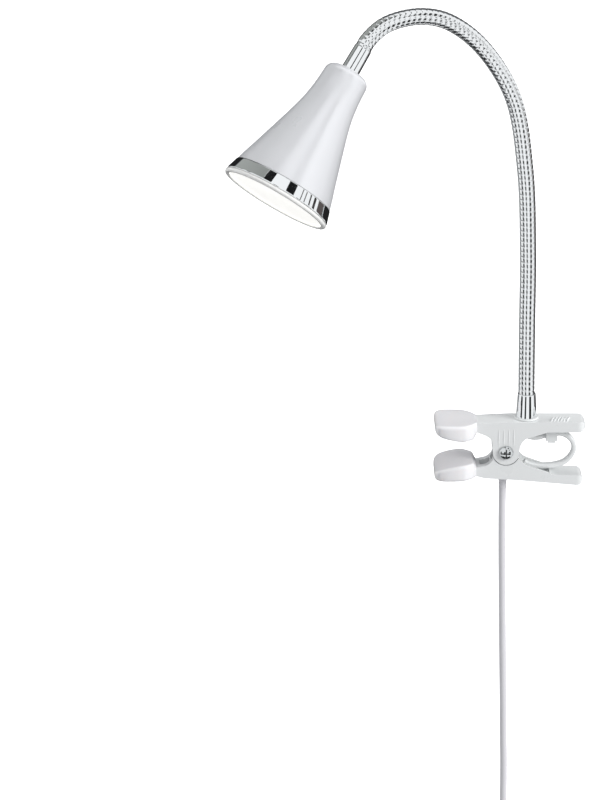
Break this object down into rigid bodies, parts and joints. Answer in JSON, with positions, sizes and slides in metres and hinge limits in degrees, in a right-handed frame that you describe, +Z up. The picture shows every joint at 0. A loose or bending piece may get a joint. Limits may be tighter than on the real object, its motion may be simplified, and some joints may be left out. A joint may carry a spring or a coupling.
{
  "type": "clip-on reading lamp",
  "caption": "Clip-on reading lamp: sprung padded jaws, flexible chrome neck, trumpet-shaped white head with an opal lens, hanging mains cord with a switch and plug.",
  "frame": {"origin": "middle of the upper pad's flat sole, where the lamp rests on the top face of a board", "axes": "+Z up along the lamp, +X from the jaws to the handles, +Y away from the bolt head; the pivot axis runs along Y"},
  "size_m": [0.2138, 0.1131, 0.7424],
  "materials": {
    "lever_plastic": "moulded ABS, satin gloss, white",
    "spring_coating": "white powder coat on spring steel",
    "pad_rubber": "soft translucent white silicone, slightly glossy",
    "bright_chrome": "bright chrome plate",
    "neck_chrome": "chrome plated wound steel, ribbed",
    "zinc_steel": "zinc plated",
    "brass": "turned brass",
    "dark_nylon": "moulded nylon",
    "shade_lacquer": "pearl white-silver lacquer, satin gloss",
    "opal_plastic": "opal diffusing acrylic",
    "reflector_plastic": "white reflecting plastic",
    "circuit_board": "white solder mask on laminate",
    "phosphor": "yellow phosphor on a chip-on-board source",
    "heat_sink_metal": "cast and machined aluminium",
    "cord_pvc": "white PVC jacket, faint sheen",
    "switch_plastic": "moulded white plastic",
    "nickel_pins": "nickel plated brass pins"
  },
  "bodies": {
    "clip_frame": {"upper_lever": "lever_plastic", "upper_pad": "pad_rubber", "pivot_bolt": "bright_chrome", "bolt_washer": "zinc_steel", "pivot_nut": "bright_chrome", "cord_anchor": "dark_nylon", "leaf_spring": "spring_coating", "spring_retainer": "lever_plastic", "neck_root": "neck_chrome", "lower_ferrule": "bright_chrome", "neck_collar": "lever_plastic", "neck_nipple": "brass", "neck_nut": "zinc_steel", "strain_relief": "cord_pvc", "supply_cord": "cord_pvc", "switch_front": "switch_plastic", "switch_back": "switch_plastic", "switch_screw_a": "zinc_steel", "switch_screw_b": "zinc_steel", "coil_lead": "cord_pvc", "cord_coil": "cord_pvc", "cord_tie": "dark_nylon", "plug_lead": "cord_pvc", "plug_body": "switch_plastic", "plug_pin_left": "nickel_pins", "plug_pin_right": "nickel_pins"},
    "lower_jaw": {"lower_lever": "lever_plastic", "lower_pad": "pad_rubber"},
    "neck_1": {"neck_length_1": "neck_chrome"},
    "neck_2": {"neck_length_2": "neck_chrome"},
    "neck_3": {"neck_length_3": "neck_chrome"},
    "neck_4": {"neck_length_4": "neck_chrome"},
    "neck_5": {"neck_length_5": "neck_chrome"},
    "neck_6": {"neck_length_6": "neck_chrome"},
    "neck_7": {"neck_length_7": "neck_chrome"},
    "lamp_head": {"neck_tip": "neck_chrome", "upper_ferrule": "bright_chrome", "shade": "shade_lacquer", "trim_ring": "bright_chrome", "front_bezel": "opal_plastic", "diffuser": "opal_plastic", "reflector": "reflector_plastic", "led_board": "circuit_board", "led_emitter": "phosphor", "board_screw_a": "zinc_steel", "board_screw_b": "zinc_steel", "heat_sink": "heat_sink_metal", "driver_board": "circuit_board", "driver_capacitor": "dark_nylon", "shade_nut": "zinc_steel"},
    "rocker": {"switch_rocker": "switch_plastic"}
  },
  "joints": [
    {"name": "jaw_pivot", "type": "hinge", "parent": "clip_frame", "child": "lower_jaw", "pos_m": [0.025, 0, -0.009], "axis": [0, -1, 0], "range_deg": [-18, 22], "stiffness_Nm_per_rad": 0.9, "deforming": ["leaf_spring"]},
    {"name": "neck_bend_1", "type": "hinge", "parent": "clip_frame", "child": "neck_1", "pos_m": [0.03673, 0, 0.0383], "axis": [0, 1, 0], "range_deg": [-22, 32]},
    {"name": "neck_bend_2", "type": "hinge", "parent": "neck_1", "child": "neck_2", "pos_m": [0.03635, 0, 0.07888], "axis": [-1, 0, -0.0025], "range_deg": [-25, 25]},
    {"name": "neck_bend_3", "type": "hinge", "parent": "neck_2", "child": "neck_3", "pos_m": [0.03584, 0, 0.11946], "axis": [0, 1, -0.0014], "range_deg": [-22, 32]},
    {"name": "neck_bend_4", "type": "hinge", "parent": "neck_3", "child": "neck_4", "pos_m": [0.03383, 0.00004, 0.15999], "axis": [-0.9954, 0, -0.0957], "range_deg": [-25, 25]},
    {"name": "neck_bend_5", "type": "hinge", "parent": "neck_4", "child": "neck_5", "pos_m": [0.02788, -0.00025, 0.2001], "axis": [-0.0073, 0.9996, 0.0285], "range_deg": [-22, 32]},
    {"name": "neck_bend_6", "type": "hinge", "parent": "neck_5", "child": "neck_6", "pos_m": [0.00961, -0.0039, 0.23582], "axis": [-0.7884, 0, -0.6151], "range_deg": [-25, 25]},
    {"name": "neck_bend_7", "type": "hinge", "parent": "neck_6", "child": "neck_7", "pos_m": [-0.02184, -0.01183, 0.25897], "axis": [-0.2423, 0.9686, 0.0551], "range_deg": [-22, 32]},
    {"name": "neck_bend_8", "type": "hinge", "parent": "neck_7", "child": "lamp_head", "pos_m": [-0.05802, -0.02406, 0.25065], "axis": [0.6901, 0, -0.7237], "range_deg": [-25, 25]},
    {"name": "switch_rock", "type": "hinge", "parent": "clip_frame", "child": "rocker", "pos_m": [0.0281, -0.007, -0.284], "axis": [1, 0, 0], "range_deg": [0, 12]}
  ]
}
